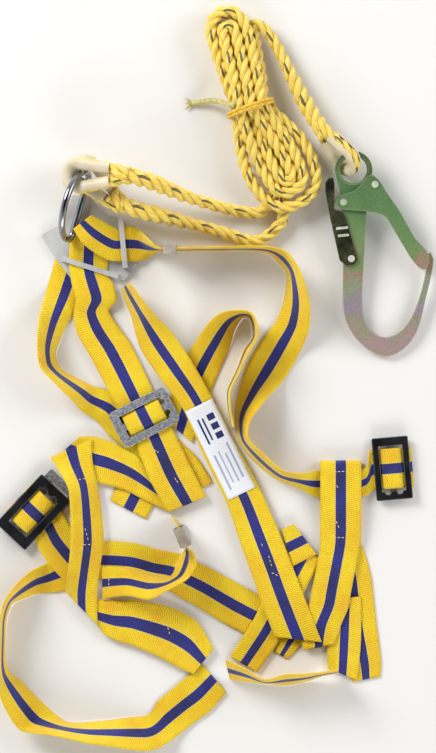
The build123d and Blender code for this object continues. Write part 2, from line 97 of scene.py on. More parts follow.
def webbingMaterial():
    look = webbingLook
    material, tree, shader = newMaterial("wovenPolyesterWebbing", **{
        "Roughness": 0.62, "Sheen Weight": 0.25, "Specular IOR Level": 0.35})
    uv = addNode(tree, "ShaderNodeUVMap")
    split = addNode(tree, "ShaderNodeSeparateXYZ", {0: uv})
    middle = addNode(tree, "ShaderNodeMath", {0: split.outputs[1]}, operation="ABSOLUTE")
    # the ribs run a little zigzag, as the filling yarn steps over each pair of warp yarns
    step = addNode(tree, "ShaderNodeMath", {0: split.outputs[1], 1: look["zigzagPitch"]},
                   operation="PINGPONG")
    slant = addNode(tree, "ShaderNodeMath", {0: step, 1: look["zigzagSlope"],
                                             2: split}, operation="MULTIPLY_ADD")
    ribTurn = addNode(tree, "ShaderNodeMath", {0: slant, 1: math.tau / look["ribPitch"]},
                      operation="MULTIPLY")
    rib = addNode(tree, "ShaderNodeMath", {0: ribTurn}, operation="SINE")
    threadTurn = addNode(tree, "ShaderNodeMath", {0: split.outputs[1], 1: math.tau / look["threadPitch"]},
                         operation="MULTIPLY")
    thread = addNode(tree, "ShaderNodeMath", {0: threadTurn}, operation="SINE")
    weave = addNode(tree, "ShaderNodeMath", {0: thread, 1: look["threadShare"],
                                             2: rib}, operation="MULTIPLY_ADD")
    spot = addNode(tree, "ShaderNodeTexCoord")
    soil = addNode(tree, "ShaderNodeTexNoise", {"Vector": spot.outputs["Object"], "Detail": 6.0,
                                                "Scale": look["soilScale"], "Roughness": 0.65})
    yarn = addNode(tree, "ShaderNodeTexNoise", {"Vector": uv, "Scale": look["yarnScale"],
                                                "Detail": 2.0})
    yellow = addNode(tree, "ShaderNodeValToRGB", {0: soil},
                     [(0.3, colour(look["shade"])), (0.62, colour(look["yellow"]))])
    blue = addNode(tree, "ShaderNodeValToRGB", {0: soil},
                   [(0.3, colour(look["stripeShade"])), (0.6, colour(look["stripe"]))])
    inStripe = addNode(tree, "ShaderNodeMath", {0: middle, 1: look["stripeHalf"]},
                       operation="LESS_THAN")
    inPale = addNode(tree, "ShaderNodeMath", {0: middle, 1: look["paleHalf"]}, operation="LESS_THAN")
    withPale = addNode(tree, "ShaderNodeMix", {0: inPale, 6: yellow,
                                               7: colour(look["pale"])}, data_type="RGBA")
    withStripe = addNode(tree, "ShaderNodeMix", {0: inStripe, 6: withPale.outputs[2],
                                                 7: blue}, data_type="RGBA")
    peak = 1 + look["threadShare"]
    # painted shade in the rib valleys and a painted highlight on the rib crests, multiplied into the
    # colour
    paintedRibShade = addNode(tree, "ShaderNodeMapRange", {0: weave, 1: -peak, 2: peak,
                                                  3: look["valleyShadeTone"], 4: look["crestHighlightTone"]})
    speck = addNode(tree, "ShaderNodeMapRange", {0: yarn, 1: 0.3, 2: 0.7, 3: 0.92, 4: 1.05})
    tone = addNode(tree, "ShaderNodeMath", {0: paintedRibShade, 1: speck}, operation="MULTIPLY")
    cloth = addNode(tree, "ShaderNodeMix", {0: 1.0, 6: withStripe.outputs[2], 7: tone},
                    data_type="RGBA", blend_type="MULTIPLY")
    bump = addNode(tree, "ShaderNodeBump", {"Height": weave, "Distance": look["weaveDepth"],
                                            "Strength": 0.7})
    tree.links.new(cloth.outputs[2], shader.inputs["Base Color"])
    tree.links.new(bump.outputs[0], shader.inputs["Normal"])
    return material


# Polypropylene split-film rope, laid in three strands: glossy long fibres, with one dark tracer yarn.
# U runs along the rope in metres, V round it in turns of one strand. Three strands in a lay of 40 mm
# come to 75 a metre. Groove and tracer places are shares of a strand's width.
# the groove colour is painted shade, laid in the hollows between the strands
ropeLook = dict(fibre="#FCDD50", deep="#E2A41E", pale="#FFF2A8", tracer="#241F18", groove="#A8700E",
                strandsPerMetre=75.0, fibresAcross=10.0, fibresAlong=22.0, fibreScale=2.2,
                fibreDepth=0.0009, grooveFrom=0.36, grooveShadeTone=0.7, tracerHalf=0.1, tracerTone=0.88)


def ropeMaterial():
    look = ropeLook
    material, tree, shader = newMaterial("laidPolypropyleneRope", **{
        "Roughness": 0.42, "Sheen Weight": 0.2, "Specular IOR Level": 0.5})
    uv = addNode(tree, "ShaderNodeUVMap")
    split = addNode(tree, "ShaderNodeSeparateXYZ", {0: uv})
    within = addNode(tree, "ShaderNodeMath", {0: split.outputs[1], 1: 1.0}, operation="FRACT")
    offCrown = addNode(tree, "ShaderNodeMath", {0: within, 1: 0.5}, operation="SUBTRACT")
    side = addNode(tree, "ShaderNodeMath", {0: offCrown}, operation="ABSOLUTE")
    # the yarns in a strand are twisted back, so their fibres lie straight along the rope
    straight = addNode(tree, "ShaderNodeMath", {0: split, 1: look["strandsPerMetre"],
                                                2: split.outputs[1]}, operation="MULTIPLY_ADD")
    fibreAcross = addNode(tree, "ShaderNodeMath", {0: straight, 1: look["fibresAcross"]},
                          operation="MULTIPLY")
    fibreAlong = addNode(tree, "ShaderNodeMath", {0: split, 1: look["fibresAlong"]},
                         operation="MULTIPLY")
    stretched = addNode(tree, "ShaderNodeCombineXYZ", {0: fibreAlong, 1: fibreAcross})
    fibres = addNode(tree, "ShaderNodeTexNoise", {"Vector": stretched, "Detail": 6.0,
                                                  "Scale": look["fibreScale"], "Roughness": 0.7})
    tint = addNode(tree, "ShaderNodeValToRGB", {0: fibres},
                   [(0.34, colour(look["deep"])), (0.5, colour(look["fibre"])),
                    (0.68, colour(look["pale"]))])
    # painted shade in the grooves between the strands
    dark = addNode(tree, "ShaderNodeMapRange", {0: side, 1: look["grooveFrom"], 2: 0.5,
                                                3: 0.0, 4: look["grooveShadeTone"]})
    grooveShaded = addNode(tree, "ShaderNodeMix", {0: dark, 6: tint,
                                              7: colour(look["groove"])}, data_type="RGBA")
    first = addNode(tree, "ShaderNodeMath", {0: split.outputs[1], 1: 1.0}, operation="LESS_THAN")
    line = addNode(tree, "ShaderNodeMath", {0: straight, 1: 0.5}, operation="PINGPONG")
    narrow = addNode(tree, "ShaderNodeMath", {0: line, 1: look["tracerHalf"]}, operation="LESS_THAN")
    tracer = addNode(tree, "ShaderNodeMath", {0: first, 1: narrow}, operation="MULTIPLY")
    soft = addNode(tree, "ShaderNodeMath", {0: tracer, 1: look["tracerTone"]}, operation="MULTIPLY")
    marked = addNode(tree, "ShaderNodeMix", {0: soft, 6: grooveShaded.outputs[2],
                                             7: colour(look["tracer"])}, data_type="RGBA")
    bump = addNode(tree, "ShaderNodeBump", {"Height": fibres, "Distance": look["fibreDepth"],
                                            "Strength": 0.9})
    tree.links.new(marked.outputs[2], shader.inputs["Base Color"])
    tree.links.new(bump.outputs[0], shader.inputs["Normal"])
    return material


# How far a rounded normal may lean from the true one, as a cosine, before it counts as an edge.
edgeLook = dict(samples=6, starts=0.985, full=0.9)


def edgeMask(tree, radius):
    # 1 on the edges, where a rounded normal leaves the true one, and 0 on the flats
    rounded = addNode(tree, "ShaderNodeBevel", {"Radius": radius}, samples=edgeLook["samples"])
    geometry = addNode(tree, "ShaderNodeNewGeometry")
    likeness = addNode(tree, "ShaderNodeVectorMath", {0: rounded,
                                                      1: geometry.outputs["Normal"]},
                       operation="DOT_PRODUCT")
    mask = addNode(tree, "ShaderNodeMapRange", {0: likeness.outputs["Value"], 1: edgeLook["starts"],
                                                2: edgeLook["full"], 3: 0.0, 4: 1.0})
    return mask.outputs[0]


# A cast, moulded or plated surface has two tones in patches, grain that is much finer than the
# patches, and in some finishes a painted highlight along its edges.
grainLook = dict(finer=22, highlightEdgeRadius=0.0012)


def grainMaterial(name, light, dark, scale, bumpDepth, edgeHighlightColour=None, **fixed):
    material, tree, shader = newMaterial(name, **fixed)
    spot = addNode(tree, "ShaderNodeTexCoord")
    patches = addNode(tree, "ShaderNodeTexNoise", {"Vector": spot.outputs["Object"], "Scale": scale,
                                                   "Detail": 5.0, "Roughness": 0.6})
    grain = addNode(tree, "ShaderNodeTexNoise", {"Vector": spot.outputs["Object"], "Detail": 3.0,
                                                 "Scale": scale * grainLook["finer"], "Roughness": 0.6})
    tint = addNode(tree, "ShaderNodeValToRGB", {0: patches},
                   [(0.36, colour(dark)), (0.64, colour(light))])
    shade = tint.outputs[0]
    # the edges are painted pale as a highlight, broken up by the grain
    if edgeHighlightColour:
        spotty = addNode(tree, "ShaderNodeMapRange", {0: grain, 1: 0.35, 2: 0.55, 3: 0.3, 4: 1.0})
        paintedEdgeHighlight = addNode(tree, "ShaderNodeMath", {0: edgeMask(tree, grainLook["highlightEdgeRadius"]),
                                                1: spotty}, operation="MULTIPLY")
        mix = addNode(tree, "ShaderNodeMix", {0: paintedEdgeHighlight, 6: shade, 7: colour(edgeHighlightColour)}, data_type="RGBA")
        shade = mix.outputs[2]
    base = fixed.get("Roughness", 0.5)
    rough = addNode(tree, "ShaderNodeMapRange", {0: patches, 1: 0.3, 2: 0.7,
                                                 3: base - 0.08, 4: base + 0.1})
    bump = addNode(tree, "ShaderNodeBump", {"Height": grain, "Distance": bumpDepth, "Strength": 0.5})
    tree.links.new(shade, shader.inputs["Base Color"])
    tree.links.new(rough.outputs[0], shader.inputs["Roughness"])
    tree.links.new(bump.outputs[0], shader.inputs["Normal"])
    return material


# Zinc plate with an iridescent chromate film: green over the eye and gate, then bands of pink, lilac
# and olive down the hook, to a pale brown at the bottom. The bands lie between low and high, which are
# Y in metres, and a slow noise shifts them by the drift.
# Its edges are painted pale as a highlight.
chromateLook = dict(low=0.08, high=0.32, drift=0.3, filmScale=30.0, grainScale=420.0, grainDepth=0.00015,
                    paintedEdgeHighlight="#D9DCC4", highlightEdgeRadius=0.0011, highlightEdgeShare=0.8,
                    stops=[(0.0, "#C4B094"), (0.1, "#C9AAA8"), (0.2, "#B4B090"), (0.27, "#B8A2B4"),
                           (0.35, "#A6B48C"), (0.43, "#C29A88"), (0.5, "#93AA70"), (0.66, "#7FA468"),
                           (0.84, "#6E9460"), (1.0, "#747E50")])


def chromateMaterial():
    look = chromateLook
    material, tree, shader = newMaterial("iridescentChromateZinc", Metallic=0.45, Roughness=0.36)
    spot = addNode(tree, "ShaderNodeTexCoord")
    film = addNode(tree, "ShaderNodeTexNoise", {"Vector": spot.outputs["Object"], "Detail": 2.5,
                                                "Scale": look["filmScale"], "Distortion": 1.2})
    split = addNode(tree, "ShaderNodeSeparateXYZ", {0: spot.outputs["Object"]})
    height = addNode(tree, "ShaderNodeMapRange", {0: split.outputs[1], 1: look["low"], 2: look["high"],
                                                  3: -look["drift"] / 2, 4: 1 - look["drift"] / 2})
    band = addNode(tree, "ShaderNodeMath", {0: film, 1: look["drift"],
                                            2: height}, operation="MULTIPLY_ADD")
    tint = addNode(tree, "ShaderNodeValToRGB", {0: band},
                   [(at, colour(shade)) for at, shade in look["stops"]])
    grain = addNode(tree, "ShaderNodeTexNoise", {"Vector": spot.outputs["Object"], "Detail": 4.0,
                                                 "Scale": look["grainScale"]})
    # the edges are painted pale as a highlight
    edge = addNode(tree, "ShaderNodeMath", {0: edgeMask(tree, look["highlightEdgeRadius"]),
                                            1: look["highlightEdgeShare"]}, operation="MULTIPLY")
    paintedEdgeHighlight = addNode(tree, "ShaderNodeMix", {0: edge, 6: tint, 7: colour(look["paintedEdgeHighlight"])}, data_type="RGBA")
    soil = addNode(tree, "ShaderNodeMapRange", {0: grain, 1: 0.3, 2: 0.7, 3: 0.84, 4: 1.06})
    soiled = addNode(tree, "ShaderNodeMix", {0: 1.0, 6: paintedEdgeHighlight.outputs[2], 7: soil},
                    data_type="RGBA", blend_type="MULTIPLY")
    bump = addNode(tree, "ShaderNodeBump", {"Height": grain, "Distance": look["grainDepth"],
                                            "Strength": 0.6})
    tree.links.new(soiled.outputs[2], shader.inputs["Base Color"])
    tree.links.new(bump.outputs[0], shader.inputs["Normal"])
    return material


# Coated label cloth: white, with plain printed bars and blocks where the words would be. U runs down
# the label and V across it; each mark is its middle and half size along and across, in millimetres.
labelMarks = {"#27306E": ((17, 3.6, 6.3, 4.2), (28, 3.6, 6.3, 4.2), (39, 3.6, 6.3, 4.2),
                          (28, 13, -3.2, 1.0), (29, 15, -8.2, 1.1)),
              "#A9AFC6": ((78, 21, -9, 1.2), (74, 19, -3, 0.8), (77, 17, 3.2, 1.0), (71, 21, 9.4, 1.2))}
labelLook = dict(cloth="#F4F5F8", shade="#DDE1EA", weaveScale=900.0)


def labelMaterial():
    look = labelLook
    material, tree, shader = newMaterial("coatedLabelCloth", **{"Roughness": 0.5,
                                                                "Specular IOR Level": 0.4})
    uv = addNode(tree, "ShaderNodeUVMap")
    split = addNode(tree, "ShaderNodeSeparateXYZ", {0: uv})
    weave = addNode(tree, "ShaderNodeTexNoise", {"Vector": uv, "Scale": look["weaveScale"],
                                                 "Detail": 3.0})
    cloth = addNode(tree, "ShaderNodeValToRGB", {0: weave},
                    [(0.35, colour(look["shade"])), (0.6, colour(look["cloth"]))])
    shade = cloth.outputs[0]
    for ink, marks in labelMarks.items():
        for along, halfAlong, across, halfAcross in marks:
            inU = addNode(tree, "ShaderNodeMath", {0: split, 1: along / 1000,
                                                   2: halfAlong / 1000}, operation="COMPARE")
            inV = addNode(tree, "ShaderNodeMath", {0: split.outputs[1], 1: across / 1000,
                                                   2: halfAcross / 1000}, operation="COMPARE")
            mark = addNode(tree, "ShaderNodeMath", {0: inU, 1: inV}, operation="MULTIPLY")
            mix = addNode(tree, "ShaderNodeMix", {0: mark, 6: shade, 7: colour(ink)}, data_type="RGBA")
            shade = mix.outputs[2]
    tree.links.new(shade, shader.inputs["Base Color"])
    return material


webbingCloth = webbingMaterial()
ropeFibre = ropeMaterial()
labelCloth = labelMaterial()
hookZinc = chromateMaterial()
# zinc under an olive chromate: dark and a little glossy, with a painted highlight along its edges
leverZinc = grainMaterial("oliveChromateZinc", light="#5A5C42", dark="#2E3024", scale=60.0,
                          bumpDepth=0.0002, edgeHighlightColour="#A9A58A", Metallic=0.5, Roughness=0.24)
# bright zinc on the rivets and ribs: pale, with a soft sheen
rivetZinc = grainMaterial("brightRivetZinc", light="#E4E6D2", dark="#B9BFA4", scale=60.0,
                          bumpDepth=0.0001, Metallic=0.3, Roughness=0.4)
# a soft twisted cord: yellow, dull and a little dirty
tieCord = grainMaterial("tieCordFibre", light="#F4CF45", dark="#C99A24", scale=300.0, bumpDepth=0.0004,
                        Roughness=0.6)
# the same cord where it has frayed and faded
tailCord = grainMaterial("wornCordEnd", light="#D6CB86", dark="#A59A5C", scale=300.0, bumpDepth=0.0005,
                         Roughness=0.7)
# forged steel, plated and polished: a near mirror with slow waves
ringChrome = grainMaterial("platedForgedSteel", light="#A9ABAE", dark="#85888C", scale=20.0,
                           bumpDepth=0.00006, Metallic=1.0, Roughness=0.13)
# cast plate with dull zinc: grey and grainy, with a painted highlight along its edges
zincPlate = grainMaterial("dullZincPlate", light="#A9ACB0", dark="#5F6368", scale=420.0,
                          bumpDepth=0.0005, edgeHighlightColour="#E6E8E8", Metallic=0.5, Roughness=0.4)
# enamel on pressed steel: black and satin, with a pale grey painted highlight along its edges
blackEnamel = grainMaterial("blackEnamelledSteel", light="#1C1C1E", dark="#0E0E10", scale=60.0,
                            bumpDepth=0.0001, edgeHighlightColour="#8C8D8E", Metallic=0.2, Roughness=0.38)
# steel bar with a fine rough grip, so its shine is broken up
barSteel = grainMaterial("knurledBarSteel", light="#8E8F90", dark="#5B5C5E", scale=120.0,
                         bumpDepth=0.0004, Metallic=0.85, Roughness=0.42)
# moulded nylon: warm cream, smooth, a little glossy
creamNylon = grainMaterial("mouldedCreamNylon", light="#DDD2B6", dark="#C4B692", scale=40.0,
                           bumpDepth=0.0002, Roughness=0.45)
# thick milky plastic that lets some light in
padPlastic = grainMaterial("milkyPadPlastic", light="#D6D2CE", dark="#BFB9B4", scale=30.0,
                           bumpDepth=0.0002, Roughness=0.4,
                           **{"Transmission Weight": 0.12, "Subsurface Weight": 0.15})
# soft clear vinyl, yellowed, so the webbing shows through faintly
keeperVinyl = grainMaterial("clearKeeperVinyl", light="#DDD2C4", dark="#A89A88", scale=30.0,
                            bumpDepth=0.0001, Roughness=0.25, **{"Transmission Weight": 0.35})
# polyester thread: pale yellow and matt
paleThread = grainMaterial("sewingThread", light="#F0E3A0", dark="#D9C668", scale=60.0,
                            bumpDepth=0.0001, Roughness=0.6)
print("materials made")


def finishPiece(name, bm, material, body, nodes=(), smooth=True):
    bmesh.ops.recalc_face_normals(bm, faces=bm.faces)
    mesh = bpy.data.meshes.new(name)
    for face in bm.faces:
        face.smooth = smooth
    bm.to_mesh(mesh)
    bm.free()
    mesh.materials.append(material)
    piece = bpy.data.objects.new(name, mesh)
    bpy.context.scene.collection.objects.link(piece)
    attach(piece, body)
    if nodes:
        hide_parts(*nodes)
    return piece


def skinRings(rings, along, across):
    # a grid is wrapped round the rings, joined down its seam and closed at its ends
    bm = bmesh.new()
    count, length = len(rings[0]), len(rings)
    uvLayer = bm.loops.layers.uv.new("UVMap")
    bmesh.ops.create_grid(bm, x_segments=count, y_segments=length - 1, size=1)
    bm.verts.ensure_lookup_table()
    for j, ring in enumerate(rings):
        for i in range(count + 1):
            bm.verts[j * (count + 1) + i].co = ring[i % count]
    for face in bm.faces:
        for loop in face.loops:
            j, i = divmod(loop.vert.index, count + 1)
            loop[uvLayer].uv = (along[j], across[i])
    bmesh.ops.remove_doubles(bm, verts=bm.verts, dist=1e-6)
    rims = [edge for edge in bm.edges if edge.is_boundary]
    bmesh.ops.holes_fill(bm, edges=rims, sides=0)
    return bm


def glide(a, b, c, d, t, pull=0.42):
    # a smooth step from b to c, leaving b as if from a and arriving at c as if to d
    startSlope, endSlope = (c - a) * pull, (d - b) * pull
    return (b * (2 * t**3 - 3 * t**2 + 1) + startSlope * (t**3 - 2 * t**2 + t)
            + c * (3 * t**2 - 2 * t**3) + endSlope * (t**3 - t**2))


# Each cross-section is a left edge x, y, z and a right edge x, y, z.
leftShoulderStrap = [
    (64, 550, 1, 106, 537, 1), (51, 506, 1, 90, 495, 1), (45, 475, 34, 73, 466, 1),
    (43, 446, 40, 62, 440, 1), (46, 422, 41, 63, 426, 1), (59, 407, 41, 72, 416, 1),
    (80, 386, 33, 101, 401, 1), (90, 373, 8, 112, 398, 1), (106, 362, 1, 132, 391, 1),
    (124, 342, 1, 156, 373, 1), (154, 317, 1, 182, 354, 1), (179, 295, 1, 216, 323, 1),
    (200, 275, 1, 234, 295, 1),
]
centreStrapTop = [
    (78, 570, 6, 120, 563, 6), (76, 537, 5.8, 119, 526, 5.8), (79, 513, 7.2, 125, 512, 7.2),
    (84, 496, 9, 129, 495, 9), (81, 479, 5, 120, 483, 5), (85, 458, 4.2, 131, 465, 4.2),
    (100, 432, 4.2, 142, 450, 4.2), (113, 407, 4.2, 154, 427, 4.2),
]
centreStrapEnd = [
    (167, 293, 7, 209, 314, 7), (186, 262, 7, 227, 279, 7),
]
rightShoulderTop = [
    (101, 588, 16.6, 81, 572.5, 16.6), (116, 580, 16.6, 93, 555, 16.6), (130, 573, 10, 118, 539, 11),
    (141, 576, 8, 140, 537, 8), (152, 573, 9, 156, 538, 7), (164, 561, 34, 167, 543, 2),
    (176, 551, 45, 176, 549, 1.2), (202, 551, 45, 202, 549, 1.2), (237, 552, 45, 237, 549, 1.2),
    (275, 553, 45, 275, 549, 1.2), (297, 552, 44, 295, 546, 1.2), (315, 546, 42, 305, 537, 1.2),
    (327, 530, 42, 315, 524, 1.2), (336, 506, 39, 314, 505, 1.2), (340, 486, 34, 311, 490, 1.2),
    (339, 462, 18, 304, 472, 2), (329, 436, 4, 289, 452, 2), (312, 407, 3, 274, 426, 2),
    (293, 387, 26, 264, 398, 2), (275, 363, 40, 258, 371, 1.2), (273, 344, 42, 262, 341, 1.2),
    (288, 328, 41, 279, 318, 1.2), (311, 308, 40, 304, 298, 1.2), (332, 305, 26, 329, 288, 3),
    (350, 308, 8, 350, 278, 4), (399, 309, 8, 399, 279, 4),
]
labelStrap = [
    (134, 508, 1, 143, 513, 34), (136, 498, 1, 151, 503, 38), (144, 478, 1, 166, 483, 36),
    (155, 441, 1, 190, 458, 20), (179, 405, 6, 210, 429, 12), (201, 376, 8, 231, 393, 8),
    (225, 322, 8, 258, 340, 8), (250, 270, 8, 287, 286, 8), (265, 226, 8.2, 307, 240, 8.2),
    (277, 193, 8.2, 320, 207, 8.2), (288, 161, 8.2, 333, 173, 8.2), (302, 125, 8.2, 354, 119, 8.2),
]
chestLoopStrap = [
    (183, 362, 1, 212, 338, 1), (187, 387, 1, 226, 374, 1), (207, 436, 1, 234, 400, 1),
    (230, 470, 24, 252, 442, 1.2), (245, 481, 36, 258, 462, 1.2), (262, 483, 42, 266, 475, 1.2),
    (275, 481, 44, 274, 475, 1.2), (282, 470, 45, 277, 466, 1.2), (282, 453, 45, 277, 453, 1.2),
    (273, 438, 45, 268, 440, 1.2), (263, 416, 45, 260, 418, 1.2), (253, 394, 45, 250, 395, 1.2),
    (254, 373, 44, 251, 373, 1.2), (257, 356, 42, 255, 354, 1.2),
]
waistStrap = [
    (88, 345, 5.4, 62, 322, 5.4), (103, 345, 5.2, 90, 300, 5.2), (121, 340, 4.4, 116, 292, 4.4),
    (139, 330, 4, 138, 286, 4), (153, 321, 3.6, 155, 277, 3.6), (164, 304, 3.6, 188, 261, 3.6),
]
leftSideStrap = [
    (56, 322, 9, 101, 342, 8.4), (65, 309, 17, 102, 319, 8.4), (77, 288, 36, 107, 294, 8.4),
    (79, 258, 34, 112, 260, 8.4), (79, 226, 32, 114, 228, 8.4), (76, 198, 30, 109, 194, 8.4),
    (73, 182, 14, 107, 162, 8.4), (73, 174, 8.4, 108, 138, 8.4),
]
seatStrap = [
    (74, 174, 5.8, 109, 138, 5.8), (99, 168, 5.8, 113, 129, 5.8), (123, 165, 5.6, 127, 121, 5.6),
    (143, 166, 5.6, 144, 116, 5.6), (165, 163, 5.6, 163, 108, 5.6), (194, 155, 5.6, 180, 100, 5.6),
    (217, 141, 5.6, 198, 90, 5.6), (235, 112, 5.8, 213, 84, 5.8),
]
buckleStrapEnd = [
    (45, 217, 3.6, 78, 245, 3.6), (58, 200, 3.6, 91, 229, 3.6), (73, 184, 3.6, 105, 212, 3.6),
]
legLoopStrap = [
    (295, 165, 1, 279, 123, 1), (264, 182, 1, 249, 138, 1), (235, 198, 1, 218, 157, 1),
    (216, 207, 1, 198, 168, 1), (197, 216, 1, 182, 177, 1), (173, 221, 1, 165, 180, 1),
    (146, 228, 1, 143, 186, 1), (114, 230, 1, 114, 188, 1), (94, 228, 1, 97, 186, 1),
    (68, 217, 1, 74, 176, 1), (52, 206, 1, 55, 173, 1), (34, 197, 20, 41, 172, 1),
    (18, 182, 38, 24, 166, 1), (7, 165, 42, 13, 161, 1.2), (2, 145, 43, 7, 143, 1.2),
    (1, 121, 43, 6, 121, 1.2), (0, 99, 43, 6, 100, 1.2), (0, 81, 42, 10, 87, 1.2),
    (2, 63, 37, 24, 75, 1.2), (10, 43, 28, 41, 58, 1.2), (23, 24, 20, 56, 44, 1.2),
    (42, 21, 30, 66, 36, 1.2), (61, 20, 40, 74, 31, 1.2), (79, 16, 42, 84, 30, 1.2),
    (99, 11, 39, 100, 31, 1.2), (120, 8, 37, 120, 33, 1.2), (143, 4, 32, 143, 36, 1.2),
    (164, 2, 26, 161, 38, 1.2), (179, 6, 16, 167, 43, 1.2), (195, 16, 5, 173, 53, 1.2),
    (213, 30, 2, 188, 66, 1.2), (231, 43, 2, 206, 81, 1.2), (249, 64, 2, 222, 95, 1.2),
]
keeperStrap = [
    (112, 202, 8, 113, 166, 8.2), (123, 202, 8, 122, 168, 9), (141, 200, 7, 141, 171, 24),
    (163, 194, 6, 165, 168, 36), (182, 189, 6, 184, 178, 42), (190, 194, 6, 207, 191, 40),
    (195, 206, 4, 216, 208, 39), (202, 219, 3.4, 212, 221, 42), (205, 224, 3.4, 206, 225, 45),
    (195, 249, 1.2, 196, 249, 45), (189, 257, 1.2, 191, 258, 45),
]
seatEndStrap = [
    (248, 102, 37, 253, 78, 1.2), (267, 94, 40, 273, 75, 1.2), (290, 81, 43, 293, 73, 1.2),
    (312, 86, 42, 317, 72, 1.2), (333, 87, 43, 338, 76, 1.2), (352, 89, 44, 354, 82, 6.8),
    (371, 92, 44, 372, 86, 7),
]
crossStrap = [
    (321, 230, 3.4, 354, 209, 3.4), (307, 202, 3.4, 339, 183, 3.4), (290, 167, 3.4, 323, 150, 3.4),
    (277, 141, 3.4, 305, 117, 3.4), (253, 103, 3.4, 283, 86, 3.4),
]
sideLoopStrap = [
    (352, 226, 1, 397, 226, 1), (352, 310, 1, 397, 310, 1), (352, 316, 3, 397, 316, 3),
    (352, 318, 6, 397, 318, 6), (352, 316, 10, 397, 316, 10), (352, 309, 12, 397, 309, 12),
    (352, 270, 12, 397, 270, 12), (352, 242, 8, 397, 242, 8), (352, 223, 6, 395, 223, 6),
    (344, 182, 6, 386, 174, 6), (340, 161, 6, 383, 157, 6), (330, 134, 6, 375, 138, 6),
    (334, 110, 6, 367, 117, 6),
]
rightLegStrap = [
    (356, 221, 1, 399, 224, 1), (364, 191, 1, 408, 191, 1), (370, 146, 1, 413, 147, 1),
    (382, 98, 1, 419, 99, 1), (387, 75, 1, 418, 81, 1),
]
rightLegTail = [
    (364, 167, 3.4, 397, 169, 3.4), (360, 121, 3.4, 397, 121, 3.4), (360, 90, 3.4, 393, 77, 3.4),
]
waistTab = [
    (133, 299, 1, 173, 277, 1), (121, 275, 1, 161, 254, 1),
]
centreTab = [
    (310, 243, 5.9, 321, 202, 5.9), (323, 249, 5.9, 348, 216, 5.9),
]
seatTab = [
    (315, 141, 1, 343, 130, 1), (302, 108, 1, 317, 100, 1),
]

# Each buckle is its middle x and y, and the heading of its bar.
chestBuckle = (159, 366, 27)
leftBuckle = (37, 262, 47)
rightBuckle = (431, 310, -85)

# Millimetres. The edges of the webbing are thinner than its middle, and a slow ripple, whose scale is
# a metre's worth of waves, keeps its faces from being flat.
webbingBuild = dict(width=44, thickness=1.8, edgeShare=0.62, step=3.5, acrossPoints=13, ripple=0.25,
                    rippleScale=28)

# Distance from the middle of a buckle and height there: under one side, over the bar, under the other.
buckleRoute = ((-22.5, 4.2), (-12.5, 4.2), (-6.5, 10.2), (6.5, 10.2), (12.5, 4.2), (22.5, 4.2))


def throughBuckle(x, y, angle, way=1):
    along = Vector((math.cos(math.radians(angle)), math.sin(math.radians(angle))))
    travel = Vector((along.y, -along.x)) * way
    half = webbingBuild["width"] / 2
    rows = []
    for distance, z in buckleRoute:
        middle = Vector((x, y)) + travel * distance
        left, right = middle - along * half, middle + along * half
        rows.append((left.x, left.y, z, right.x, right.y, z))
    return rows


def smoothRun(rows, step):
    lefts = [place(*row[:3]) for row in rows]
    rights = [place(*row[3:]) for row in rows]
    last = len(rows) - 1
    run, travelled = [], 0.0
    for k in range(last):
        middleStep = ((lefts[k + 1] + rights[k + 1]) - (lefts[k] + rights[k])).length / 2
        parts = max(2, round(middleStep * 1000 / step))
        before, after = max(k - 1, 0), min(k + 2, last)
        for part in range(parts + (k == last - 1)):
            t = part / parts
            left = glide(lefts[before], lefts[k], lefts[k + 1], lefts[after], t)
            right = glide(rights[before], rights[k], rights[k + 1], rights[after], t)
            if run:
                travelled += ((left + right) - (run[-1][0] + run[-1][1])).length / 2
            run.append((left, right, travelled))
    return run


def webbingRings(run, thickness, points, ripple):
    half, last = thickness / 2000, len(run) - 1
    rings, shares = [], [-1 + 2 * i / (points - 1) for i in range(points)]
    for i, (left, right, travelled) in enumerate(run):
        before, after = run[max(i - 1, 0)], run[min(i + 1, last)]
        up = (right - left).cross(after[0] + after[1] - before[0] - before[1]).normalized()
        middle, arm = (left + right) / 2, (right - left) / 2
        ring = []
        for side in (1, -1):
            for share in shares if side == 1 else reversed(shares):
                # the last number gives each run of webbing ripples of its own
                spot = Vector((travelled * webbingBuild["rippleScale"], share * 1.3, len(run) * 0.37))
                wave = noise.noise(spot) * ripple / 1000
                thin = webbingBuild["edgeShare"] if abs(share) == 1 else 1.0
                ring.append(middle + arm * share + up * (side * half * thin + wave))
        rings.append(ring)
    return rings, shares


def webbingPiece(name, node, rows):
    build = webbingBuild
    run = smoothRun(rows, build["step"])
    rings, shares = webbingRings(run, build["thickness"], build["acrossPoints"], build["ripple"])
    across = [share * build["width"] / 2000 for share in shares + shares[::-1]]
    bm = skinRings(rings, [station[2] for station in run], across + across[:1])
    piece = finishPiece(name, bm, webbingCloth, "harness", [node])
    return piece, run


